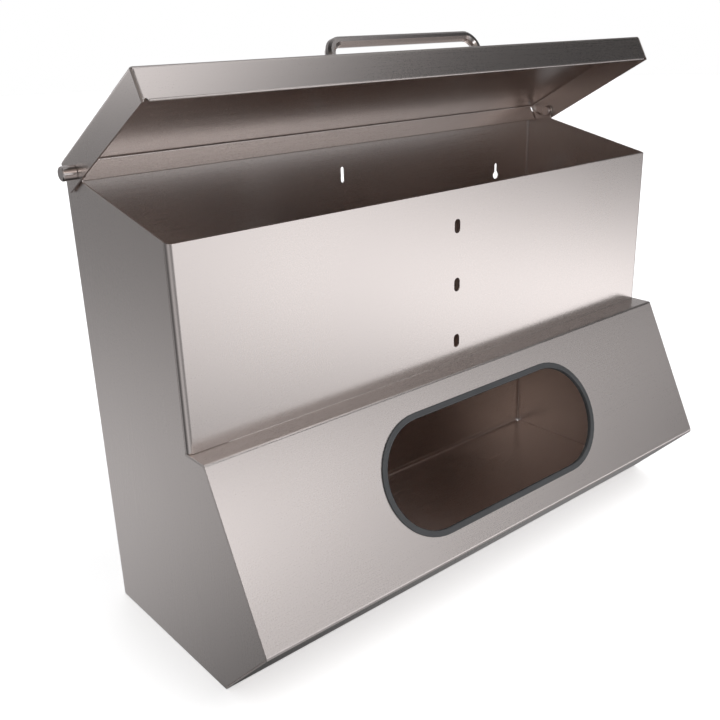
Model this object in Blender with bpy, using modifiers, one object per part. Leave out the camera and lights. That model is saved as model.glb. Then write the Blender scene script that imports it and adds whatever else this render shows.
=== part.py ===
"""Wall-hung stainless steel dispenser with a hinged lid, a hopper front and a stadium opening.

Metres, +Z up. The front faces -Y and the origin is the middle of the flat underside.
"""
import math

import bmesh
import bpy
from mathutils import Matrix, Vector

# Cabinet sizes; depths are measured forward from the wall face
CABINET_WIDTH = 0.610
BACK_HEIGHT = 0.4268
FRONT_HEIGHT = 0.388
BIN_DEPTH = 0.1716
LEDGE_HEIGHT = 0.2165
LEDGE_REACH = 0.0225
NOSE_DEPTH = 0.2642
NOSE_HEIGHT = 0.0715
FLOOR_DEPTH = 0.1939

# Sheet and its bends, as outside radii
SHEET = 0.0015
CORNER_BEND = 0.0045
LEDGE_BEND = 0.003
NOSE_BEND = 0.0045
BEND_STEPS = 5
RETURN_FLAT = 0.0012
FLOOR_LAP = 0.014
SEAM = 0.0003

# Stadium opening and its rubber trim, on the slanted face
OPENING_LENGTH = 0.2870
OPENING_HEIGHT = 0.1076
OPENING_DROP = 0.0795
TRIM_LIP = 0.0044
TRIM_BRIDGE = 0.0013
TRIM_WALL = 0.0014
TRIM_ROUNDING = 0.0011
TRIM_STEPS = 24

# Sight slots in the upper front; the drop is from the front's top edge to the first slot
SIGHT_WIDTH = 0.0075
SIGHT_HEIGHT = 0.0135
SIGHT_DROP = 0.0351
SIGHT_PITCH = 0.05745
SIGHT_COUNT = 3

# Hanging holes in the back, measured from the sides and from the back's top edge
KEYHOLE_INSET = 0.060
KEYHOLE_DROP = 0.0738
KEYHOLE_BORE = 0.0095
KEYHOLE_RISE = 0.0145
SLOT_WIDTH = 0.0046
MIDDLE_SLOT_DROP = 0.0430
MIDDLE_SLOT_HEIGHT = 0.0168

# Hinge; the pin axis runs along X, a little above the sides' sloped top edges
PIN_DEPTH = 0.0307
PIN_RISE = 0.00714
PIN_NECK = 0.006
PIN_BOSS = 0.0125
PIN_BOSS_LENGTH = 0.0121
PIN_CHAMFER = 0.0009
PIN_CLEARANCE = 0.0003
EAR_RADIUS = 0.00625
EAR_FILLET = 0.002
CAP_DIAMETER = 0.011
CAP_THICKNESS = 0.0030
CAP_ROUNDING = 0.0009
CAP_END_WALL = 0.0008
PIVOT_WASHER = 0.0120

# Lid, measured from the pin axis with its plate level
LID_OPEN_ANGLE = math.radians(28.64)
LID_SIDE_GAP = 0.0015
LID_LENGTH = 0.1678
LID_REAR = 0.0221
LID_RISE = 0.0186
LID_BEND = 0.0030
LID_CORNER = 0.0018
FRONT_FLANGE = 0.0270
SIDE_FLANGE = 0.0278
REAR_FLANGE = 0.0194
REAR_NOTCH_CLEARANCE = 0.0012
CORNER_EDGE = 0.0021
CORNER_SLIT = 0.0004
CORNER_RELIEF = 0.0018

# Handle and its screws
HANDLE_ROD = 0.010
HANDLE_LENGTH = 0.1852
HANDLE_RISE = 0.030
HANDLE_BEND = 0.0131
HANDLE_SETBACK = 0.0409
SCREW_SHANK = 0.005
SCREW_REACH = 0.012
SCREW_HEAD = 0.0095
SCREW_HEAD_HEIGHT = 0.0034
SCREW_ROUNDING = 0.0017
SCREW_SOCKET = 0.003
SCREW_SOCKET_DEPTH = 0.0018
SCREW_CLEARANCE = 0.0003
SCREW_STEPS = 24
HANDLE_WASHER = 0.011
HANDLE_WASHER_THICKNESS = 0.001

# Derived places
BACK_Y = FLOOR_DEPTH / 2
HALF_WIDTH = CABINET_WIDTH / 2
LEDGE_DEPTH = BIN_DEPTH + LEDGE_REACH
CORNER_RETURN = CORNER_BEND + RETURN_FLAT
SLOPE = math.atan2(BACK_HEIGHT - FRONT_HEIGHT, BIN_DEPTH)
LID_INNER_X = HALF_WIDTH + LID_SIDE_GAP
LID_OUTER_X = LID_INNER_X + SHEET
LID_FRONT = LID_LENGTH - LID_REAR
PIN_Z = BACK_HEIGHT - PIN_DEPTH * math.tan(SLOPE) + PIN_RISE
KEYHOLE_Z = BACK_HEIGHT - KEYHOLE_DROP

# Working values: how far cutters reach past, points taken as one, and the angle kept sharp
OVER = 0.02
SAME_POINT = 0.000001
SHARP_ANGLE = math.radians(30)
ROUND_STEPS = 32
SLOT_STEPS = 8
HANDLE_STEPS = 8
ROD_STEPS = 3
LIP_STEPS = 3
ROUNDING_STEPS = 6

# Planes that outlines are drawn in: u is depth in the side view and X in the front view, v is up
SIDE_VIEW = Matrix(((0, 0, 1, 0), (-1, 0, 0, BACK_Y), (0, 1, 0, 0), (0, 0, 0, 1)))
FRONT_VIEW = Matrix(((1, 0, 0, 0), (0, 0, -1, 0), (0, 1, 0, 0), (0, 0, 0, 1)))


def at(depth, z):
    """World Y and Z of a point given by its depth from the wall face and its height."""
    return BACK_Y - depth, z


def slope_z(depth):
    """Height of the sloped top edge at a depth."""
    return BACK_HEIGHT - depth * math.tan(SLOPE)


def fillet(corners, steps=BEND_STEPS, closed=False):
    """Points of an outline whose corners, given as (u, v, radius), are rounded by arcs."""
    points = []
    count = len(corners)
    for i, (u, v, radius) in enumerate(corners):
        inner = closed or 0 < i < count - 1
        if radius <= 0 or not inner:
            points.append(Vector((u, v)))
            continue
        here = Vector((u, v))
        to_last = (Vector(corners[i - 1][:2]) - here).normalized()
        to_next = (Vector(corners[(i + 1) % count][:2]) - here).normalized()
        half = to_last.angle(to_next) / 2
        centre = here + (to_last + to_next).normalized() * radius / math.sin(half)
        start = here + to_last * radius / math.tan(half) - centre
        turn = start.angle_signed(here + to_next * radius / math.tan(half) - centre)
        for k in range(steps + 1):
            arm = start.copy()
            arm.rotate(Matrix.Rotation(-turn * k / steps, 2))
            if not points or (centre + arm - points[-1]).length > SAME_POINT:
                points.append(centre + arm)
    return points


def inset(corners, distance):
    """Corners of an open outline, all turning right, moved to its right by a distance."""
    moved = []
    count = len(corners)
    for i, (u, v, radius) in enumerate(corners):
        sides = []
        for a, b in ((i - 1, i), (i, i + 1)):
            if 0 <= a and b < count:
                run = (Vector(corners[b][:2]) - Vector(corners[a][:2])).normalized()
                sides.append(Vector((run.y, -run.x)))
        middle = sum(sides, Vector((0, 0))).normalized()
        shift = middle * distance / middle.dot(sides[0])
        moved.append((u + shift.x, v + shift.y, max(radius - distance, 0)))
    return moved


def collection(name):
    made = bpy.data.collections.new(name)
    bpy.context.scene.collection.children.link(made)
    return made


def material(name, colour, metallic, roughness):
    made = bpy.data.materials.new(name)
    made.use_nodes = True
    shader = made.node_tree.nodes["Principled BSDF"]
    shader.inputs["Base Color"].default_value = (*colour, 1)
    shader.inputs["Metallic"].default_value = metallic
    shader.inputs["Roughness"].default_value = roughness
    return made


def add_object(name, mesh, group, surface=None):
    made = bpy.data.objects.new(name, mesh)
    group.objects.link(made)
    if surface:
        mesh.materials.clear()
        mesh.materials.append(surface)
    else:
        made.hide_render = True
        made.display_type = 'WIRE'
    return made


def poly_curve(name, outline, closed=True):
    """Object with a flat poly curve through the (u, v) points."""
    curve = bpy.data.curves.new(name, 'CURVE')
    curve.dimensions = '2D'
    curve.fill_mode = 'NONE'
    spline = curve.splines.new('POLY')
    spline.points.add(len(outline) - 1)
    for point, place in zip(spline.points, outline):
        point.co = (place[0], place[1], 0, 1)
    spline.use_cyclic_u = closed
    holder = bpy.data.objects.new(name, curve)
    bpy.context.scene.collection.objects.link(holder)
    return holder


def closed_mesh(holder, plane):
    """Mesh of a curve object, moved into a plane and welded shut."""
    graph = bpy.context.evaluated_depsgraph_get()
    mesh = bpy.data.meshes.new_from_object(holder.evaluated_get(graph))
    shape = bmesh.new()
    shape.from_mesh(mesh)
    shape.transform(plane)
    bmesh.ops.remove_doubles(shape, verts=shape.verts, dist=SAME_POINT)
    bmesh.ops.recalc_face_normals(shape, faces=shape.faces)
    shape.to_mesh(mesh)
    shape.free()
    bpy.data.objects.remove(holder)
    return mesh


def plate_mesh(name, outline, plane, half_thickness):
    """Flat plate of an outline, as thick on both sides of its plane."""
    holder = poly_curve(name, outline)
    holder.data.fill_mode = 'BOTH'
    holder.data.extrude = half_thickness
    return closed_mesh(holder, plane)


def rod_mesh(name, path, plane, radius):
    """Round rod along an open path."""
    holder = poly_curve(name, path, closed=False)
    holder.data.dimensions = '3D'
    holder.data.bevel_depth = radius
    holder.data.bevel_resolution = ROD_STEPS
    holder.data.use_fill_caps = True
    return closed_mesh(holder, plane)


def swept_mesh(name, outline, section, plane):
    """Closed section carried round a closed flat outline."""
    holder = poly_curve(name, outline)
    profile = poly_curve(name + "_section", section)
    holder.data.bevel_mode = 'OBJECT'
    holder.data.bevel_object = profile
    mesh = closed_mesh(holder, plane)
    bpy.data.objects.remove(profile)
    return mesh


def extruded_path(name, points, start, run):
    """Open surface swept along run from a line of 3D points moved by start."""
    shape = bmesh.new()
    verts = [shape.verts.new(Vector(p) + Vector(start)) for p in points]
    edges = [shape.edges.new(pair) for pair in zip(verts, verts[1:])]
    swept = bmesh.ops.extrude_edge_only(shape, edges=edges)
    moved = [g for g in swept["geom"] if isinstance(g, bmesh.types.BMVert)]
    bmesh.ops.translate(shape, verts=moved, vec=run)
    mesh = bpy.data.meshes.new(name)
    shape.to_mesh(mesh)
    shape.free()
    return mesh


def solidify(target, offset):
    mod = target.modifiers.new("sheet", 'SOLIDIFY')
    mod.thickness = SHEET
    mod.offset = offset
    mod.use_even_offset = True


def boolean(target, cutter, operation='DIFFERENCE'):
    mod = target.modifiers.new(operation.lower(), 'BOOLEAN')
    mod.solver = 'EXACT'
    mod.operation = operation
    mod.object = cutter


def box_cutter(name, low, high, group):
    shape = bmesh.new()
    bmesh.ops.create_cube(shape, size=1)
    size = Vector(high) - Vector(low)
    middle = (Vector(high) + Vector(low)) / 2
    shape.transform(Matrix.Translation(middle) @ Matrix.Diagonal((*size, 1)))
    mesh = bpy.data.meshes.new(name)
    shape.to_mesh(mesh)
    shape.free()
    return add_object(name, mesh, group)


def rod_cutter(name, radius, length, place, group):
    """Round cutter of a full length, centred and turned by the matrix place."""
    shape = bmesh.new()
    bmesh.ops.create_cone(
        shape,
        cap_ends=True,
        segments=ROUND_STEPS,
        radius1=radius,
        radius2=radius,
        depth=length,
    )
    shape.transform(place)
    mesh = bpy.data.meshes.new(name)
    shape.to_mesh(mesh)
    shape.free()
    return add_object(name, mesh, group)


def stadium(length, height, steps):
    """Outline of a slot with round ends, its length along u."""
    radius = height / 2
    reach = length / 2 - radius
    outline = []
    for side, first in ((1, -math.pi / 2), (-1, math.pi / 2)):
        for k in range(steps + 1):
            angle = first + math.pi * k / steps
            outline.append(Vector((side * reach + radius * math.cos(angle), radius * math.sin(angle))))
    return outline


def quarter_round(radius, r, z):
    """Arc of a turned profile, from its outer side at (r, z) inward and down by the radius."""
    return [
        (r - radius + radius * math.cos(angle), z - radius * math.sin(angle))
        for angle in (math.pi / 2 * k / ROUNDING_STEPS for k in range(ROUNDING_STEPS + 1))
    ]


def slot_cutter(name, width, height, x, y, z, group):
    """Upright slot with round ends, cut through a sheet that faces along Y."""
    upright = Matrix.Translation((x, y, z)) @ FRONT_VIEW @ Matrix.Rotation(math.pi / 2, 4, 'Z')
    mesh = plate_mesh(name, stadium(height, width, SLOT_STEPS), upright, OVER / 4)
    return add_object(name, mesh, group)


def turned(name, profile, group, surface, steps=ROUND_STEPS):
    """Solid turned about its own Z from (radius, z) points; a ring repeats its first point last."""
    shape = bmesh.new()
    ring = profile[0] == profile[-1]
    verts = [shape.verts.new((radius, 0, z)) for radius, z in profile[:len(profile) - ring]]
    for pair in zip(verts, verts[1:] + verts[:ring]):
        shape.edges.new(pair)
    mesh = bpy.data.meshes.new(name)
    shape.to_mesh(mesh)
    shape.free()
    made = add_object(name, mesh, group, surface)
    mod = made.modifiers.new("turn", 'SCREW')
    mod.steps = steps
    mod.render_steps = steps
    mod.use_merge_vertices = True
    mod.merge_threshold = SAME_POINT
    mod.use_smooth_shade = True
    return made


def smooth(target):
    """Round faces shaded smooth, with edges sharper than SHARP_ANGLE kept."""
    target.data.shade_smooth()
    target.data.set_sharp_from_angle(angle=SHARP_ANGLE)


for old in list(bpy.data.objects):
    bpy.data.objects.remove(old)

parts = collection("dispenser")
cutters = collection("cutters")

STEEL = (0.78, 0.715, 0.695)
INNER_STEEL = (0.76, 0.695, 0.675)
BRIGHT_STEEL = (0.80, 0.74, 0.72)
RUBBER = (0.058, 0.060, 0.063)
NYLON = (0.76, 0.74, 0.69)
steel_side = material("steel_side", STEEL, 1.0, 0.30)
steel_front = material("steel_front", STEEL, 1.0, 0.28)
steel_hopper = material("steel_hopper", STEEL, 1.0, 0.29)
steel_inner = material("steel_inner", INNER_STEEL, 1.0, 0.30)
steel_lid = material("steel_lid", STEEL, 1.0, 0.28)
steel_bright = material("steel_bright", BRIGHT_STEEL, 1.0, 0.18)
rubber = material("rubber_trim", RUBBER, 0.0, 0.60)
nylon = material("nylon", NYLON, 0.0, 0.45)

# Sloped top cutter, which trims the back and front panels
top_cutter = box_cutter(
    "top_cutter",
    (-CABINET_WIDTH, -CABINET_WIDTH, 0),
    (CABINET_WIDTH, CABINET_WIDTH, CABINET_WIDTH),
    cutters,
)
top_cutter.location = (0, *at(0, BACK_HEIGHT))
top_cutter.rotation_euler.x = SLOPE

# Hopper outline in side view, from the ledge's rear edge to the lap under the floor
HOPPER_OUTLINE = [
    (BIN_DEPTH - CORNER_RETURN, LEDGE_HEIGHT, 0),
    (LEDGE_DEPTH, LEDGE_HEIGHT, LEDGE_BEND),
    (NOSE_DEPTH, NOSE_HEIGHT, NOSE_BEND),
    (FLOOR_DEPTH, 0, NOSE_BEND),
    (FLOOR_DEPTH - FLOOR_LAP, 0, 0),
]

# Side panels: an L-shaped sheet with the rear bend, cut to the cabinet's outline
under_hopper = inset(HOPPER_OUTLINE, SHEET + SEAM)
pin_foot_depth = PIN_DEPTH - math.sin(SLOPE) * math.cos(SLOPE) * PIN_RISE
ear_height = math.cos(SLOPE) * PIN_RISE + EAR_RADIUS
along = Vector((math.cos(SLOPE), -math.sin(SLOPE)))
upward = Vector((math.sin(SLOPE), math.cos(SLOPE)))
foot = Vector((pin_foot_depth, slope_z(pin_foot_depth)))
ear_corners = [
    foot + along * EAR_RADIUS,
    foot + along * EAR_RADIUS + upward * ear_height,
    foot - along * EAR_RADIUS + upward * ear_height,
    foot - along * EAR_RADIUS,
]
front_seam = BIN_DEPTH - CORNER_RETURN - SEAM
side_outline = [(-OVER, 0, 0), (FLOOR_DEPTH - FLOOR_LAP - SEAM, 0, 0)]
side_outline += [(FLOOR_DEPTH - FLOOR_LAP - SEAM, SHEET + SEAM, 0)]
side_outline += reversed(under_hopper[1:-1])
side_outline += [(front_seam, LEDGE_HEIGHT - SHEET - SEAM, 0), (front_seam, slope_z(front_seam), 0)]
side_outline += [
    (*ear_corners[0], EAR_FILLET),
    (*ear_corners[1], EAR_RADIUS),
    (*ear_corners[2], EAR_RADIUS),
    (*ear_corners[3], EAR_FILLET),
    (-OVER, slope_z(-OVER), 0),
]
outline_mesh = plate_mesh("side_outline", fillet(side_outline, closed=True), SIDE_VIEW, CABINET_WIDTH)
outline_cutter = add_object("side_outline_cutter", outline_mesh, cutters)

ear_bore = rod_cutter(
    "ear_bore_cutter",
    PIN_NECK / 2 + PIN_CLEARANCE,
    CABINET_WIDTH + 2 * OVER,
    Matrix.Translation((0, *at(PIN_DEPTH, PIN_Z))) @ Matrix.Rotation(math.pi / 2, 4, 'Y'),
    cutters,
)

for name, side in (("side_panel_left", -1), ("side_panel_right", 1)):
    plan = fillet([
        (side * (HALF_WIDTH - CORNER_RETURN), 0, 0),
        (side * HALF_WIDTH, 0, CORNER_BEND),
        (side * HALF_WIDTH, NOSE_DEPTH, 0),
    ])
    line = [(u, BACK_Y - v, 0) for u, v in plan]
    mesh = extruded_path(name, line, (0, 0, -OVER), (0, 0, BACK_HEIGHT + 3 * OVER))
    panel = add_object(name, mesh, parts, steel_side)
    solidify(panel, -side)
    boolean(panel, outline_cutter, 'INTERSECT')
    boolean(panel, ear_bore)

# Back panel between the rear bends, with two keyholes and the middle slot
back_half = HALF_WIDTH - CORNER_RETURN - SEAM
back_foot = CORNER_BEND + RETURN_FLAT + SEAM
back_outline = [
    (-back_half, back_foot),
    (back_half, back_foot),
    (back_half, BACK_HEIGHT + OVER),
    (-back_half, BACK_HEIGHT + OVER),
]
back_plane = Matrix.Translation((0, BACK_Y - SHEET / 2, 0)) @ FRONT_VIEW
back_mesh = plate_mesh("back_panel", back_outline, back_plane, SHEET / 2)
back_panel = add_object("back_panel", back_mesh, parts, steel_inner)
boolean(back_panel, top_cutter)

for name, side in (("left", -1), ("right", 1)):
    x = side * (HALF_WIDTH - KEYHOLE_INSET)
    bulb = rod_cutter(
        "keyhole_bulb_" + name,
        KEYHOLE_BORE / 2,
        OVER / 2,
        Matrix.Translation((x, BACK_Y, KEYHOLE_Z)) @ Matrix.Rotation(math.pi / 2, 4, 'X'),
        cutters,
    )
    neck_middle = KEYHOLE_Z + (KEYHOLE_RISE - SLOT_WIDTH / 2) / 2
    neck_height = KEYHOLE_RISE + SLOT_WIDTH / 2
    neck = slot_cutter("keyhole_neck_" + name, SLOT_WIDTH, neck_height, x, BACK_Y, neck_middle, cutters)
    boolean(back_panel, bulb)
    boolean(back_panel, neck)
middle_z = BACK_HEIGHT - MIDDLE_SLOT_DROP
middle_slot = slot_cutter("middle_slot", SLOT_WIDTH, MIDDLE_SLOT_HEIGHT, 0, BACK_Y, middle_z, cutters)
boolean(back_panel, middle_slot)

# Floor panel with its upturned rear bend, notched where the corner bends meet
floor_half = HALF_WIDTH - SHEET - SEAM
floor_path = fillet([
    (FLOOR_DEPTH - FLOOR_LAP - SEAM, 0, 0),
    (0, 0, CORNER_BEND),
    (0, CORNER_RETURN, 0),
])
floor_line = [(0, *at(u, v)) for u, v in floor_path]
floor_mesh = extruded_path("floor_panel", floor_line, (-floor_half, 0, 0), (2 * floor_half, 0, 0))
floor_panel = add_object("floor_panel", floor_mesh, parts, steel_inner)
solidify(floor_panel, 1)
for name, side in (("left", -1), ("right", 1)):
    reach = sorted((side * HALF_WIDTH, side * back_half))
    notch = box_cutter(
        "floor_notch_" + name,
        (reach[0], BACK_Y - CORNER_RETURN, -OVER),
        (reach[1], BACK_Y + OVER, OVER),
        cutters,
    )
    boolean(floor_panel, notch)

# Upper front panel with rounded vertical bends and three sight slots
front_plan = fillet([
    (-HALF_WIDTH, BIN_DEPTH - CORNER_RETURN, 0),
    (-HALF_WIDTH, BIN_DEPTH, CORNER_BEND),
    (HALF_WIDTH, BIN_DEPTH, CORNER_BEND),
    (HALF_WIDTH, BIN_DEPTH - CORNER_RETURN, 0),
])
front_foot = LEDGE_HEIGHT + SEAM
front_mesh = extruded_path(
    "front_panel",
    [(u, BACK_Y - v, 0) for u, v in front_plan],
    (0, 0, front_foot),
    (0, 0, FRONT_HEIGHT + OVER - front_foot),
)
front_panel = add_object("front_panel", front_mesh, parts, steel_front)
solidify(front_panel, 1)
boolean(front_panel, top_cutter)
for k in range(SIGHT_COUNT):
    z = FRONT_HEIGHT - SIGHT_DROP - k * SIGHT_PITCH
    label = "sight_slot_%d" % (k + 1)
    sight = slot_cutter(label, SIGHT_WIDTH, SIGHT_HEIGHT, 0, BACK_Y - BIN_DEPTH, z, cutters)
    boolean(front_panel, sight)

# Hopper panel: ledge, slanted face, lower return and the lap under the floor
hopper_path = fillet(HOPPER_OUTLINE)
hopper_line = [(0, *at(u, v)) for u, v in hopper_path]
hopper_mesh = extruded_path("hopper_panel", hopper_line, (-HALF_WIDTH, 0, 0), (CABINET_WIDTH, 0, 0))
hopper_panel = add_object("hopper_panel", hopper_mesh, parts, steel_hopper)
solidify(hopper_panel, 1)

# Frame of the slanted face: u along X, v up the slant, w out of the sheet
slant = Vector((LEDGE_DEPTH - NOSE_DEPTH, LEDGE_HEIGHT - NOSE_HEIGHT)).normalized()
opening_centre = Vector((LEDGE_DEPTH, LEDGE_HEIGHT)) - slant * OPENING_DROP
up_slant = Vector((0, -slant.x, slant.y))
out_slant = Vector((1, 0, 0)).cross(up_slant)
slant_y, slant_z = at(*opening_centre)
SLANT_VIEW = Matrix((
    (1, up_slant.x, out_slant.x, 0),
    (0, up_slant.y, out_slant.y, slant_y),
    (0, up_slant.z, out_slant.z, slant_z),
    (0, 0, 0, 1),
))
opening = stadium(OPENING_LENGTH, OPENING_HEIGHT, TRIM_STEPS)
opening_mesh = plate_mesh("opening", opening, SLANT_VIEW, OVER)
boolean(hopper_panel, add_object("opening_cutter", opening_mesh, cutters))

# Rubber trim: a channel section with rounded lips, carried round the opening's edge; u runs inward
groove = SHEET / 2 + SEAM
face = groove + TRIM_WALL
bridge = SEAM + TRIM_BRIDGE
trim_section = fillet(
    [
        (bridge, -face, TRIM_ROUNDING),
        (-TRIM_LIP, -face, TRIM_ROUNDING),
        (-TRIM_LIP, -groove, 0),
        (SEAM, -groove, 0),
        (SEAM, groove, 0),
        (-TRIM_LIP, groove, 0),
        (-TRIM_LIP, face, TRIM_ROUNDING),
        (bridge, face, TRIM_ROUNDING),
    ],
    steps=LIP_STEPS,
    closed=True,
)
trim_plane = SLANT_VIEW @ Matrix.Translation((0, 0, -SHEET / 2))
trim_mesh = swept_mesh("opening_trim", opening, trim_section, trim_plane)
opening_trim = add_object("opening_trim", trim_mesh, parts, rubber)
smooth(opening_trim)

# Pivot pins, caps and washers; each is turned about its own Z, which points out of the cabinet
ear_inner = HALF_WIDTH - SHEET
boss_inner = LID_OUTER_X + SEAM
boss_outer = boss_inner + PIN_BOSS_LENGTH
cap_outer = ear_inner - SEAM
cap_inner = cap_outer - CAP_THICKNESS
cap_floor = cap_inner + CAP_END_WALL
neck = PIN_NECK / 2
bore = neck + PIN_CLEARANCE
pin_profile = [
    (0, boss_outer),
    (PIN_BOSS / 2 - PIN_CHAMFER, boss_outer),
    (PIN_BOSS / 2, boss_outer - PIN_CHAMFER),
    (PIN_BOSS / 2, boss_inner),
    (neck, boss_inner),
    (neck, cap_floor + SEAM),
    (0, cap_floor + SEAM),
]
cap_profile = [(0, cap_floor), (bore, cap_floor), (bore, cap_outer), (CAP_DIAMETER / 2, cap_outer)]
cap_profile += quarter_round(CAP_ROUNDING, CAP_DIAMETER / 2, cap_inner + CAP_ROUNDING)
cap_profile += [(0, cap_inner)]
washer_low = HALF_WIDTH + SEAM
washer_high = LID_INNER_X - SEAM
washer_profile = [
    (bore, washer_low),
    (bore, washer_high),
    (PIVOT_WASHER / 2, washer_high),
    (PIVOT_WASHER / 2, washer_low),
    (bore, washer_low),
]
for name, turn in (("left", -math.pi / 2), ("right", math.pi / 2)):
    for label, profile, surface in (
        ("pivot_pin_", pin_profile, steel_bright),
        ("pivot_cap_", cap_profile, steel_bright),
        ("pivot_washer_", washer_profile, nylon),
    ):
        piece = turned(label + name, profile, parts, surface)
        piece.location = (0, *at(PIN_DEPTH, PIN_Z))
        piece.rotation_euler.y = turn

# Lid, built level about the pin axis and turned open by its hinge empty
hinge = bpy.data.objects.new("lid_hinge", None)
parts.objects.link(hinge)
hinge.location = (0, *at(PIN_DEPTH, PIN_Z))
hinge.rotation_euler.x = -LID_OPEN_ANGLE

shape = bmesh.new()
bmesh.ops.create_cube(shape, size=1)
low = Vector((-LID_OUTER_X, -LID_FRONT, LID_RISE - SIDE_FLANGE))
high = Vector((LID_OUTER_X, LID_REAR, LID_RISE))
shape.transform(Matrix.Translation((low + high) / 2) @ Matrix.Diagonal((*(high - low), 1)))
underside = [f for f in shape.faces if f.normal.z < -0.5]
bmesh.ops.delete(shape, geom=underside, context='FACES')
weight = shape.edges.layers.float.new("bevel_weight_edge")
for edge in shape.edges:
    heights = [v.co.z > 0 for v in edge.verts]
    if all(heights):
        edge[weight] = 1
    elif any(heights):
        edge[weight] = LID_CORNER / LID_BEND
lid_mesh = bpy.data.meshes.new("lid")
shape.to_mesh(lid_mesh)
shape.free()
lid = add_object("lid", lid_mesh, parts, steel_lid)
lid.parent = hinge
bends = lid.modifiers.new("bends", 'BEVEL')
bends.limit_method = 'WEIGHT'
bends.width = LID_BEND
bends.segments = BEND_STEPS
solidify(lid, -1)


def cut_lid(cutter):
    cutter.parent = hinge
    boolean(lid, cutter)


def flange_cutter(name, left_half, y):
    """Cutter for the lower edge of the lid's flange at y, from its left half, which is mirrored."""
    outline = left_half + [(-u, v) for u, v in reversed(left_half)]
    plane = Matrix.Translation((0, y, 0)) @ FRONT_VIEW
    return add_object(name, plate_mesh(name, outline, plane, 2 * SHEET), cutters)


# Lower edges of the flanges: the front has a slit and a round relief at each corner, and the rear
# has notches that clear the side panels
below = LID_RISE - SIDE_FLANGE - OVER
flange_top = LID_RISE - LID_BEND - SEAM
slit = LID_OUTER_X - CORNER_EDGE
front_edge = LID_RISE - FRONT_FLANGE
relief_start = math.acos(1 - CORNER_SLIT / 2 / CORNER_RELIEF)
front_cut = [
    (-slit - CORNER_SLIT / 2, below),
    (-slit - CORNER_SLIT / 2, flange_top),
    (-slit + CORNER_SLIT / 2, flange_top),
]
for k in range(SLOT_STEPS + 1):
    angle = relief_start + (math.pi - relief_start) * k / SLOT_STEPS
    reach = slit - CORNER_RELIEF + CORNER_RELIEF * math.cos(angle)
    front_cut.append((-reach, front_edge + CORNER_RELIEF * math.sin(angle)))
rear_half = HALF_WIDTH - SHEET - REAR_NOTCH_CLEARANCE
rear_cut = [
    (-slit, below),
    (-slit, flange_top),
    (-rear_half, flange_top),
    (-rear_half, LID_RISE - REAR_FLANGE),
]
cut_lid(flange_cutter("front_flange_cutter", front_cut, -LID_FRONT))
cut_lid(flange_cutter("rear_flange_cutter", rear_cut, LID_REAR))
cut_lid(rod_cutter(
    "pin_hole_cutter",
    bore,
    2 * LID_OUTER_X + OVER,
    Matrix.Rotation(math.pi / 2, 4, 'Y'),
    cutters,
))

# Handle: a bent rod that stands on the lid and is held by screws from below
handle_y = -LID_FRONT + HANDLE_SETBACK
bar_z = LID_RISE + HANDLE_RISE
foot_z = LID_RISE + SEAM
post = HANDLE_LENGTH / 2
handle_path = fillet(
    [
        (-post, foot_z, 0),
        (-post, bar_z, HANDLE_BEND),
        (post, bar_z, HANDLE_BEND),
        (post, foot_z, 0),
    ],
    steps=HANDLE_STEPS,
)
handle_plane = Matrix.Translation((0, handle_y, 0)) @ FRONT_VIEW
handle_mesh = rod_mesh("handle", handle_path, handle_plane, HANDLE_ROD / 2)
handle = add_object("handle", handle_mesh, parts, steel_bright)
handle.parent = hinge
smooth(handle)

washer_top = LID_RISE - SHEET - SEAM
head_top = washer_top - HANDLE_WASHER_THICKNESS - SEAM
head_low = head_top - SCREW_HEAD_HEIGHT
shank = SCREW_SHANK / 2
head = SCREW_HEAD / 2
shank_top = LID_RISE + SCREW_REACH
screw_profile = [(0, shank_top), (shank, shank_top), (shank, head_top), (head, head_top)]
screw_profile += quarter_round(SCREW_ROUNDING, head, head_low + SCREW_ROUNDING)
screw_profile += [(0, head_low)]
handle_washer_profile = [
    (shank + SCREW_CLEARANCE, washer_top - HANDLE_WASHER_THICKNESS),
    (shank + SCREW_CLEARANCE, washer_top),
    (HANDLE_WASHER / 2, washer_top),
    (HANDLE_WASHER / 2, washer_top - HANDLE_WASHER_THICKNESS),
    (shank + SCREW_CLEARANCE, washer_top - HANDLE_WASHER_THICKNESS),
]
for name, side in (("left", -1), ("right", 1)):
    place = Vector((side * post, handle_y, 0))
    hole = rod_cutter(
        "handle_bore_" + name,
        shank + SCREW_CLEARANCE,
        2 * (SCREW_REACH + SEAM),
        Matrix.Translation(place + Vector((0, 0, LID_RISE))),
        cutters,
    )
    cut_lid(hole)
    boolean(handle, hole)
    screw = turned("handle_screw_" + name, screw_profile, parts, steel_bright, SCREW_STEPS)
    screw.parent = hinge
    screw.location = place
    socket = rod_cutter(
        "screw_socket_" + name,
        SCREW_SOCKET / 2,
        2 * SCREW_SOCKET_DEPTH,
        Matrix.Translation(place + Vector((0, 0, head_low))),
        cutters,
    )
    socket.parent = hinge
    boolean(screw, socket)
    washer = turned("handle_washer_" + name, handle_washer_profile, parts, steel_bright, SCREW_STEPS)
    washer.parent = hinge
    washer.location = place
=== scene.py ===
import math

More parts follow.
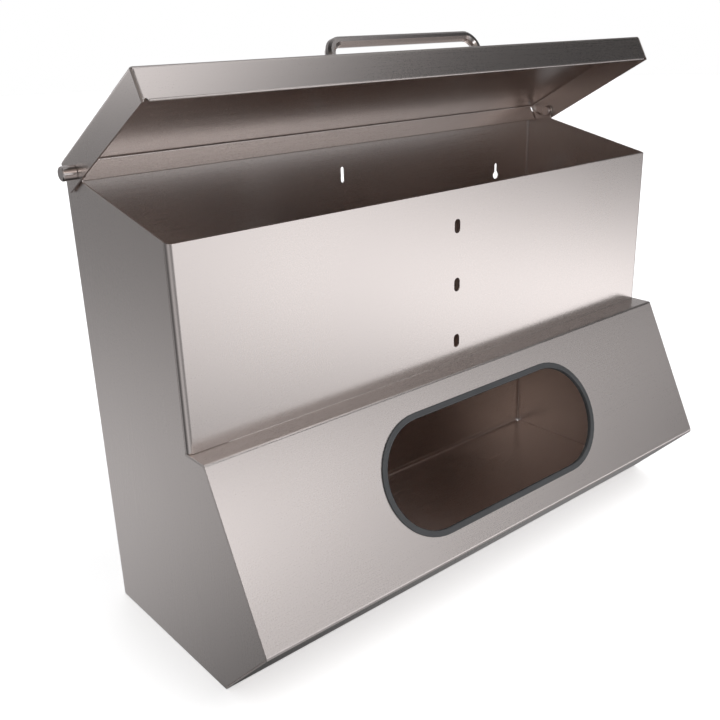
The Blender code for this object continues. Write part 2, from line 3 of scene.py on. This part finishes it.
import bmesh
import bpy
from mathutils import Euler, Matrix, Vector


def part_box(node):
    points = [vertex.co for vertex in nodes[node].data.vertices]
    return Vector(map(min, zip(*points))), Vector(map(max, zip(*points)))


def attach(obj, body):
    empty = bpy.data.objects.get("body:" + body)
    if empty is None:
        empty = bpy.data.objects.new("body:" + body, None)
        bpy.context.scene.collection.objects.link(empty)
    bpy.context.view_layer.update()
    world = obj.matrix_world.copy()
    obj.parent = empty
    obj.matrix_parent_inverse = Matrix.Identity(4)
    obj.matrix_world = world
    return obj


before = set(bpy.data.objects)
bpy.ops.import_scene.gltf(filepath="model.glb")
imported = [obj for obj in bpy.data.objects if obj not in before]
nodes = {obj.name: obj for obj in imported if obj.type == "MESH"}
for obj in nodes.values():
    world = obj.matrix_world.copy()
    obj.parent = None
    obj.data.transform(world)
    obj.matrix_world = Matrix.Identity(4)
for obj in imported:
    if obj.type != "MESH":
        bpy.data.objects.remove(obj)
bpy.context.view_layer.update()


# Helpers for node trees

NOISE_LOW = 0.3
NOISE_HIGH = 0.7
EVEN = (1, 1, 1)


def add_node(tree, kind, **inputs):
    made = tree.nodes.new(kind)
    for name, value in inputs.items():
        made.inputs[name].default_value = value
    return made


def connect(tree, source, target):
    tree.links.new(source, target)


def maths(tree, operation, first, second=None):
    made = tree.nodes.new("ShaderNodeMath")
    made.operation = operation
    for place, value in enumerate((first, second)):
        if value is None:
            continue
        if isinstance(value, (int, float)):
            made.inputs[place].default_value = value
        else:
            connect(tree, value, made.inputs[place])
    return made.outputs[0]


def dot(tree, vector, axis):
    made = tree.nodes.new("ShaderNodeVectorMath")
    made.operation = "DOT_PRODUCT"
    connect(tree, vector, made.inputs[0])
    made.inputs[1].default_value = axis
    return made.outputs["Value"]


def noise(tree, coordinates, stretch, scale, detail):
    mapping = add_node(tree, "ShaderNodeMapping", Scale=stretch)
    connect(tree, coordinates, mapping.inputs["Vector"])
    made = add_node(tree, "ShaderNodeTexNoise", Scale=scale, Detail=detail)
    connect(tree, mapping.outputs["Vector"], made.inputs["Vector"])
    return made.outputs["Fac"]


def spread(tree, value, low, high):
    """A noise value, which keeps mostly between two levels, stretched to run from low to high."""
    made = tree.nodes.new("ShaderNodeMapRange")
    made.inputs["From Min"].default_value = NOISE_LOW
    made.inputs["From Max"].default_value = NOISE_HIGH
    made.inputs["To Min"].default_value = low
    made.inputs["To Max"].default_value = high
    connect(tree, value, made.inputs["Value"])
    return made.outputs["Result"]


def tint(tree, value, dark, light):
    """A colour that goes from dark to light as a noise value rises."""
    made = tree.nodes.new("ShaderNodeMix")
    made.data_type = "RGBA"
    connect(tree, spread(tree, value, 0.0, 1.0), made.inputs["Factor"])
    made.inputs["A"].default_value = (*dark, 1.0)
    made.inputs["B"].default_value = (*light, 1.0)
    return made.outputs["Result"]


def blend(tree, *shares):
    """The sum of some values, each times its share."""
    total = None
    for value, share in shares:
        part = maths(tree, "MULTIPLY", value, share)
        total = part if total is None else maths(tree, "ADD", total, part)
    return total


def bump(tree, value, height, strength, below=None):
    made = add_node(tree, "ShaderNodeBump", Distance=height, Strength=strength)
    connect(tree, value, made.inputs["Height"])
    if below is not None:
        connect(tree, below, made.inputs["Normal"])
    return made.outputs["Normal"]


def new_material(name):
    material = bpy.data.materials.new(name)
    material.use_nodes = True
    tree = material.node_tree
    shader = tree.nodes["Principled BSDF"]
    place = tree.nodes.new("ShaderNodeTexCoord").outputs["Object"]
    return material, tree, shader, place


# Stainless steel: each grain by its fineness along X, Y and Z, each bump by its height and strength

LIGHT_STEEL = (0.795, 0.720, 0.685)
DARK_STEEL = (0.765, 0.690, 0.655)
SHEET_ROUGHNESS = 0.28
GRAIN_ALONG_X = (12, 1500, 1500)
GRAIN_ALONG_Z = (1500, 1500, 12)

LIGHT_BAR = (0.82, 0.75, 0.72)
DARK_BAR = (0.78, 0.71, 0.68)
TURNED_ROUGHNESS = 0.20
TURNED_GRAIN = (1500, 60, 60)
ROD_ROUGHNESS = 0.15
ROD_GRAIN = (40, 900, 900)

UNEVEN_ROUGHNESS = 0.02
STREAK_SHARE = 0.15
CLOUD_SHARE = 0.40
SPECK_SHARE = 0.45
CLOUD_SCALE = 6.0
SPECK_SCALE = 1800.0
CLOUD_BUMP = (0.0004, 0.5)
SPECK_BUMP = (0.00001, 0.2)


def steel(name, light, dark, rough, grain):
    """Stainless steel with fine streaks along its grain, wide faint clouds and very small specks."""
    material, tree, shader, place = new_material(name)
    streaks = noise(tree, place, stretch=grain, scale=1.0, detail=2.0)
    clouds = noise(tree, place, stretch=EVEN, scale=CLOUD_SCALE, detail=1.0)
    specks = noise(tree, place, stretch=EVEN, scale=SPECK_SCALE, detail=1.0)
    mixed = blend(tree, (streaks, STREAK_SHARE), (clouds, CLOUD_SHARE), (specks, SPECK_SHARE))
    roughness = spread(tree, mixed, rough - UNEVEN_ROUGHNESS, rough + UNEVEN_ROUGHNESS)
    swell = bump(tree, clouds, *CLOUD_BUMP)
    connect(tree, tint(tree, mixed, dark, light), shader.inputs["Base Color"])
    connect(tree, roughness, shader.inputs["Roughness"])
    connect(tree, bump(tree, specks, *SPECK_BUMP, below=swell), shader.inputs["Normal"])
    shader.inputs["Metallic"].default_value = 1.0
    return material


steel_level = steel("steel_grain_level", LIGHT_STEEL, DARK_STEEL, SHEET_ROUGHNESS, GRAIN_ALONG_X)
steel_upright = steel("steel_grain_upright", LIGHT_STEEL, DARK_STEEL, SHEET_ROUGHNESS, GRAIN_ALONG_Z)
steel_turned = steel("steel_turned", LIGHT_BAR, DARK_BAR, TURNED_ROUGHNESS, TURNED_GRAIN)
steel_rod = steel("steel_rod", LIGHT_BAR, DARK_BAR, ROD_ROUGHNESS, ROD_GRAIN)


# Rubber of the opening's trim

DARK_RUBBER = (0.042, 0.043, 0.045)
LIGHT_RUBBER = (0.066, 0.068, 0.071)
RUBBER_ROUGHNESS = (0.52, 0.68)
RUBBER_GRAIN_SCALE = 900.0
RUBBER_CLOUD_SCALE = 40.0
RUBBER_GRAIN_SHARE = 0.5
RUBBER_CLOUD_SHARE = 0.5
RUBBER_BUMP = (0.0001, 0.4)


def rubber():
    material, tree, shader, place = new_material("rubber_trim")
    grain = noise(tree, place, stretch=EVEN, scale=RUBBER_GRAIN_SCALE, detail=4.0)
    clouds = noise(tree, place, stretch=EVEN, scale=RUBBER_CLOUD_SCALE, detail=2.0)
    mixed = blend(tree, (grain, RUBBER_GRAIN_SHARE), (clouds, RUBBER_CLOUD_SHARE))
    connect(tree, tint(tree, mixed, DARK_RUBBER, LIGHT_RUBBER), shader.inputs["Base Color"])
    connect(tree, spread(tree, mixed, *RUBBER_ROUGHNESS), shader.inputs["Roughness"])
    connect(tree, bump(tree, grain, *RUBBER_BUMP), shader.inputs["Normal"])
    return material


# Nylon of the pivots' washers

DARK_NYLON = (0.72, 0.70, 0.64)
LIGHT_NYLON = (0.80, 0.78, 0.73)
NYLON_ROUGHNESS = (0.38, 0.50)
NYLON_GRAIN_SCALE = 600.0
NYLON_BUMP = (0.00005, 0.3)
NYLON_SCATTER = 0.1
NYLON_DEPTH = 0.002


def nylon():
    material, tree, shader, place = new_material("nylon_washer")
    grain = noise(tree, place, stretch=EVEN, scale=NYLON_GRAIN_SCALE, detail=3.0)
    connect(tree, tint(tree, grain, DARK_NYLON, LIGHT_NYLON), shader.inputs["Base Color"])
    connect(tree, spread(tree, grain, *NYLON_ROUGHNESS), shader.inputs["Roughness"])
    connect(tree, bump(tree, grain, *NYLON_BUMP), shader.inputs["Normal"])
    shader.inputs["Subsurface Weight"].default_value = NYLON_SCATTER
    shader.inputs["Subsurface Radius"].default_value = (NYLON_DEPTH, NYLON_DEPTH, NYLON_DEPTH)
    return material


# The finish of each solid

FINISHES = {
    "side_panel_left": steel_upright,
    "side_panel_right": steel_upright,
    "front_panel": steel_level,
    "hopper_panel": steel_level,
    "back_panel": steel_level,
    "floor_panel": steel_level,
    "opening_trim": rubber(),
    "lid": steel_level,
    "handle": steel_rod,
}
nylon_finish = nylon()


def finish_of(name):
    if name in FINISHES:
        return FINISHES[name]
    if "pivot_washer" in name:
        return nylon_finish
    return steel_turned


# Rounded edges and smooth bends on the solids, with flat faces kept flat

MERGE_DISTANCE = 0.00001
FLAT_WITHIN = math.radians(0.5)
EDGE_ROUNDING = 0.0002
LID_EDGE_ROUNDING = 0.0005
ROUNDING_STEPS = 2
ROUNDED_ABOVE = math.radians(40)
SMOOTH_BELOW = math.radians(30)


def smoothing_group():
    """Geometry nodes that shade every face smooth and keep the sharp edges sharp."""
    group = bpy.data.node_groups.new("smooth_bends", "GeometryNodeTree")
    group.interface.new_socket("Geometry", in_out="INPUT", socket_type="NodeSocketGeometry")
    group.interface.new_socket("Geometry", in_out="OUTPUT", socket_type="NodeSocketGeometry")
    start = group.nodes.new("NodeGroupInput")
    end = group.nodes.new("NodeGroupOutput")
    shade = group.nodes.new("GeometryNodeSetShadeSmooth")
    shade.domain = "FACE"
    shade.inputs["Shade Smooth"].default_value = True
    angle = group.nodes.new("GeometryNodeInputMeshEdgeAngle")
    sharp = group.nodes.new("FunctionNodeCompare")
    sharp.data_type = "FLOAT"
    sharp.operation = "GREATER_THAN"
    sharp.inputs[1].default_value = SMOOTH_BELOW
    store = group.nodes.new("GeometryNodeStoreNamedAttribute")
    store.data_type = "BOOLEAN"
    store.domain = "EDGE"
    store.inputs["Name"].default_value = "sharp_edge"
    connect(group, angle.outputs["Unsigned Angle"], sharp.inputs[0])
    connect(group, start.outputs[0], shade.inputs["Geometry"])
    connect(group, shade.outputs[0], store.inputs["Geometry"])
    connect(group, sharp.outputs["Result"], store.inputs["Value"])
    connect(group, store.outputs[0], end.inputs[0])
    return group


def dress(name, piece, bends):
    """Give a solid its modifiers and its finish; its own mesh stays as it is."""
    weld = piece.modifiers.new("weld", "WELD")
    weld.merge_threshold = MERGE_DISTANCE
    merge = piece.modifiers.new("merge_flats", "DECIMATE")
    merge.decimate_type = "DISSOLVE"
    merge.angle_limit = FLAT_WITHIN
    edge = piece.modifiers.new("edge_rounding", "BEVEL")
    edge.width = LID_EDGE_ROUNDING if name == "lid" else EDGE_ROUNDING
    edge.segments = ROUNDING_STEPS
    edge.limit_method = "ANGLE"
    edge.angle_limit = ROUNDED_ABOVE
    shade = piece.modifiers.new("smooth_bends", "NODES")
    shade.node_group = bends
    flat = piece.modifiers.new("flat_faces", "WEIGHTED_NORMAL")
    flat.keep_sharp = True
    piece.data.materials.clear()
    piece.data.materials.append(finish_of(name))


smooth_bends = smoothing_group()
for name, piece in nodes.items():
    dress(name, piece, smooth_bends)


def new_object(name, shape, material):
    """An object with the mesh of a bmesh, which is freed."""
    mesh = bpy.data.meshes.new(name)
    shape.to_mesh(mesh)
    shape.free()
    mesh.materials.append(material)
    made = bpy.data.objects.new(name, mesh)
    bpy.context.scene.collection.objects.link(made)
    return made


# Ground weld along the front panel's foot, with a small hollow face; it stops short of the left end

WELD_FROM = -0.268
WELD_TO = 0.3005
WELD_SIZE = 0.0004
WELD_ROOT = 0.0003
WELD_STEPS = 6


def foot_weld():
    front_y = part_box("front_panel")[0].y
    ledge_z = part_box("hopper_panel")[1].z
    section = [(front_y + WELD_ROOT, ledge_z), (front_y + WELD_ROOT, ledge_z + WELD_SIZE)]
    for k in range(WELD_STEPS + 1):
        turn = math.pi / 2 * k / WELD_STEPS
        out = WELD_SIZE * (1 - math.cos(turn))
        up = WELD_SIZE * (1 - math.sin(turn))
        section.append((front_y - out, ledge_z + up))
    shape = bmesh.new()
    ends = [[shape.verts.new((x, y, z)) for y, z in section] for x in (WELD_FROM, WELD_TO)]
    shape.faces.new(ends[0])
    shape.faces.new(list(reversed(ends[1])))
    count = len(section)
    for k in range(count):
        after = (k + 1) % count
        shape.faces.new((ends[0][after], ends[0][k], ends[1][k], ends[1][after]))
    bmesh.ops.recalc_face_normals(shape, faces=shape.faces)
    made = new_object("foot_weld", shape, steel_level)
    made.data.shade_smooth()
    made.data.set_sharp_from_angle(angle=SMOOTH_BELOW)
    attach(made, "cabinet")


foot_weld()


# Rounded beads on the lid's front flange and corner slits, placed from the hinge of a level lid

LID_TURN = math.radians(-28.64)
SHEET = 0.0015
FLANGE_OUTER_Y = -0.1457
FLANGE_MIDDLE_Y = FLANGE_OUTER_Y + SHEET / 2
FLANGE_EDGE_Z = -0.0080
EDGE_BEAD = 0.0011
EDGE_BEAD_END = 0.3012
CORNER_BEAD = 0.0006
CORNER_BEAD_X = 0.3059
CORNER_BEAD_Y = FLANGE_OUTER_Y + CORNER_BEAD / 2
CORNER_BEAD_TOP = 0.0150
CORNER_BEAD_FOOT = -0.0062
BEAD_SIDES = 16
BEAD_STEPS = 4


def bead_shape(start, end, radius):
    """A thin bead of rings, which get smaller towards its rounded ends."""
    along = (end - start).normalized()
    across = along.orthogonal().normalized()
    upright = along.cross(across)
    angles = [math.pi / 2 * (k + 0.5) / (BEAD_STEPS + 0.5) for k in range(BEAD_STEPS + 1)]
    stations = [(start - along * radius * math.cos(a), radius * math.sin(a)) for a in angles]
    stations += [(end + along * radius * math.cos(a), radius * math.sin(a)) for a in reversed(angles)]
    shape = bmesh.new()
    rings = []
    for place, reach in stations:
        ring = []
        for k in range(BEAD_SIDES):
            turn = 2 * math.pi * k / BEAD_SIDES
            outwards = across * math.cos(turn) + upright * math.sin(turn)
            ring.append(shape.verts.new(place + outwards * reach))
        rings.append(ring)
    for first, second in zip(rings, rings[1:]):
        for k in range(BEAD_SIDES):
            after = (k + 1) % BEAD_SIDES
            shape.faces.new((first[k], first[after], second[after], second[k]))
    shape.faces.new(rings[0])
    shape.faces.new(rings[-1])
    bmesh.ops.recalc_face_normals(shape, faces=shape.faces)
    return shape


def lid_bead(name, start, end, radius):
    """A bead on the lid, between two points measured from the hinge of a level lid."""
    low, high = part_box("pivot_pin_left")
    hinge = Vector((0, (low.y + high.y) / 2, (low.z + high.z) / 2))
    turn = Euler((LID_TURN, 0, 0)).to_matrix()
    shape = bead_shape(hinge + turn @ Vector(start), hinge + turn @ Vector(end), radius)
    made = new_object(name, shape, steel_level)
    made.data.shade_smooth()
    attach(made, "lid")


lid_bead(
    "lid_edge_bead",
    (-EDGE_BEAD_END, FLANGE_MIDDLE_Y, FLANGE_EDGE_Z),
    (EDGE_BEAD_END, FLANGE_MIDDLE_Y, FLANGE_EDGE_Z),
    EDGE_BEAD,
)
for side, x in (("left", -CORNER_BEAD_X), ("right", CORNER_BEAD_X)):
    lid_bead(
        "lid_corner_bead_" + side,
        (x, CORNER_BEAD_Y, CORNER_BEAD_FOOT),
        (x, CORNER_BEAD_Y, CORNER_BEAD_TOP),
        CORNER_BEAD,
    )


# Floor and backdrop: pale, unseen in the steel, and the floor keeps the object's shadow

STAGE_RADIUS = 8.0
STAGE_SIDES = 96
FLOOR_HEIGHT = -0.0005
FLOOR_COLOUR = (0.9, 0.9, 0.9, 1.0)
FLOOR_ROUGHNESS = 0.9
FLOOR_GLOSS = 0.1
FLOOR_GLOW = 0.45
WHITE = (1.0, 1.0, 1.0, 1.0)
BACKDROP_HEIGHT = 8.0


def pale_floor():
    material, _, shader, _ = new_material("pale_floor")
    shader.inputs["Base Color"].default_value = FLOOR_COLOUR
    shader.inputs["Roughness"].default_value = FLOOR_ROUGHNESS
    shader.inputs["Specular IOR Level"].default_value = FLOOR_GLOSS
    shader.inputs["Emission Color"].default_value = WHITE
    shader.inputs["Emission Strength"].default_value = FLOOR_GLOW
    return material


def white_backdrop():
    material = bpy.data.materials.new("white_backdrop")
    material.use_nodes = True
    tree = material.node_tree
    tree.nodes.clear()
    glow = tree.nodes.new("ShaderNodeEmission")
    output = tree.nodes.new("ShaderNodeOutputMaterial")
    connect(tree, glow.outputs[0], output.inputs["Surface"])
    return material


def stage_piece(name, shape, material, height):
    made = new_object(name, shape, material)
    made.location = (0, 0, height)
    made.visible_glossy = False
    return made


def floor():
    shape = bmesh.new()
    bmesh.ops.create_circle(shape, cap_ends=True, segments=STAGE_SIDES, radius=STAGE_RADIUS)
    stage_piece("floor", shape, pale_floor(), FLOOR_HEIGHT)


def backdrop():
    """A round wall about the floor, which lights nothing and casts no shadow."""
    shape = bmesh.new()
    bmesh.ops.create_cone(
        shape,
        cap_ends=False,
        segments=STAGE_SIDES,
        radius1=STAGE_RADIUS,
        radius2=STAGE_RADIUS,
        depth=BACKDROP_HEIGHT,
    )
    made = stage_piece("backdrop", shape, white_backdrop(), BACKDROP_HEIGHT / 2)
    made.visible_diffuse = False
    made.visible_shadow = False


floor()
backdrop()


# Directions of the lights: the azimuth goes from straight ahead of the front towards the right


def direction(azimuth, elevation):
    a, e = math.radians(azimuth), math.radians(elevation)
    return Vector((math.sin(a) * math.cos(e), -math.cos(a) * math.cos(e), math.sin(e)))


# Soft studio: each light's name, its azimuth, elevation, width and height in degrees, and its strength

SOFT_LIGHTS = (
    ("front_right_strip", 56, -16.5, 20, 4.3, 1.70),
    ("front_low", 29, -11, 19, 16, 0.97),
    ("front_strip", 3, 18, 36, 5, 2.50),
    ("overhead", 34, 49, 19, 6, 1.80),
    ("overhead_right", 84, 60, 11, 6, 1.6),
    ("front_left_low", -50, -22, 42, 16, 0.45),
    ("rear_left_low", -162, -28.5, 19, 12.5, 0.57),
    ("rear_left_strip", -149, 5, 15, 6, 1.6),
    ("rear_right", 150, 8, 32, 16, 0.90),
    ("right_low", 122, -36, 26, 12, 0.22),
    ("right_level", 146, -4, 16, 10, 1.30),
    ("front_below", 15, -60, 50, 18, 0.60),
    ("rear_overhead", 185, 58, 40, 20, 0.60),
    ("rear_low", 182, -16, 20, 12, 0.25),
)
WARM_LIGHTS = (("front_left", -48, 24, 26, 18, 0.68),)
PLAIN = (1.0, 1.015, 1.04, 1.0)
WARM = (1.0, 0.91, 0.85, 1.0)
AMBIENT = 0.02


def glow_of(tree, ray, lights):
    """The sum of some soft lights, each fading outwards over its width and height."""
    total = None
    for label, azimuth, elevation, width, height, strength in lights:
        ahead = direction(azimuth, elevation)
        level = direction(azimuth + 90, 0)
        upright = level.cross(ahead)
        across = maths(tree, "DIVIDE", dot(tree, ray, level), math.sin(math.radians(width)))
        along = maths(tree, "DIVIDE", dot(tree, ray, upright), math.sin(math.radians(height)))
        across_squared = maths(tree, "MULTIPLY", across, across)
        along_squared = maths(tree, "MULTIPLY", along, along)
        square = maths(tree, "ADD", across_squared, along_squared)
        glow = maths(tree, "EXPONENT", maths(tree, "MULTIPLY", square, -1.0))
        facing = maths(tree, "GREATER_THAN", dot(tree, ray, ahead), 0.0)
        glow = maths(tree, "MULTIPLY", glow, facing)
        glow = maths(tree, "MULTIPLY", glow, strength)
        glow.node.label = label
        total = glow if total is None else maths(tree, "ADD", total, glow)
    return total


def background(tree, colour, strength):
    made = add_node(tree, "ShaderNodeBackground", Color=colour)
    connect(tree, strength, made.inputs["Strength"])
    return made.outputs[0]


def studio():
    world = bpy.data.worlds.new("studio")
    bpy.context.scene.world = world
    world.use_nodes = True
    tree = world.node_tree
    tree.nodes.clear()
    ray = tree.nodes.new("ShaderNodeTexCoord").outputs["Generated"]
    plain = maths(tree, "ADD", glow_of(tree, ray, SOFT_LIGHTS), AMBIENT)
    warm = glow_of(tree, ray, WARM_LIGHTS)
    both = tree.nodes.new("ShaderNodeAddShader")
    connect(tree, background(tree, PLAIN, plain), both.inputs[0])
    connect(tree, background(tree, WARM, warm), both.inputs[1])
    output = tree.nodes.new("ShaderNodeOutputWorld")
    connect(tree, both.outputs[0], output.inputs["Surface"])


studio()


# Lamps for the matt surfaces: each lamp's name, azimuth, elevation and softness in degrees, and strength

LAMPS = (
    ("key", 35, 55, 40, 1.3),
    ("fill", -60, 45, 60, 0.7),
    ("rear", 170, 50, 60, 0.7),
)


def lamp(name, azimuth, elevation, softness, strength):
    data = bpy.data.lights.new(name, "SUN")
    data.energy = strength
    data.angle = math.radians(softness)
    made = bpy.data.objects.new(name, data)
    made.rotation_euler = direction(azimuth, elevation).to_track_quat("Z", "Y").to_euler()
    made.visible_glossy = False
    bpy.context.scene.collection.objects.link(made)


for values in LAMPS:
    lamp(*values)


# Camera at the photograph's viewing angle, with its turn in degrees and its lens in millimetres

CAMERA_PLACE = (-0.6109, -0.65985, 0.5369)
CAMERA_TURN = (69.363, 1.65, -40.32)
CAMERA_LENS = 44.97
CAMERA_SENSOR = 36.0


def camera():
    data = bpy.data.cameras.new("camera")
    data.lens = CAMERA_LENS
    data.sensor_width = CAMERA_SENSOR
    made = bpy.data.objects.new("camera", data)
    made.location = CAMERA_PLACE
    made.rotation_euler = Euler([math.radians(a) for a in CAMERA_TURN])
    bpy.context.scene.collection.objects.link(made)
    bpy.context.scene.camera = made


camera()


# Render settings, with enough glossy bounces for the inside of the cabinet

GLOSSY_BOUNCES = 12

bpy.context.scene.view_settings.view_transform = "Standard"
bpy.context.scene.cycles.glossy_bounces = GLOSSY_BOUNCES
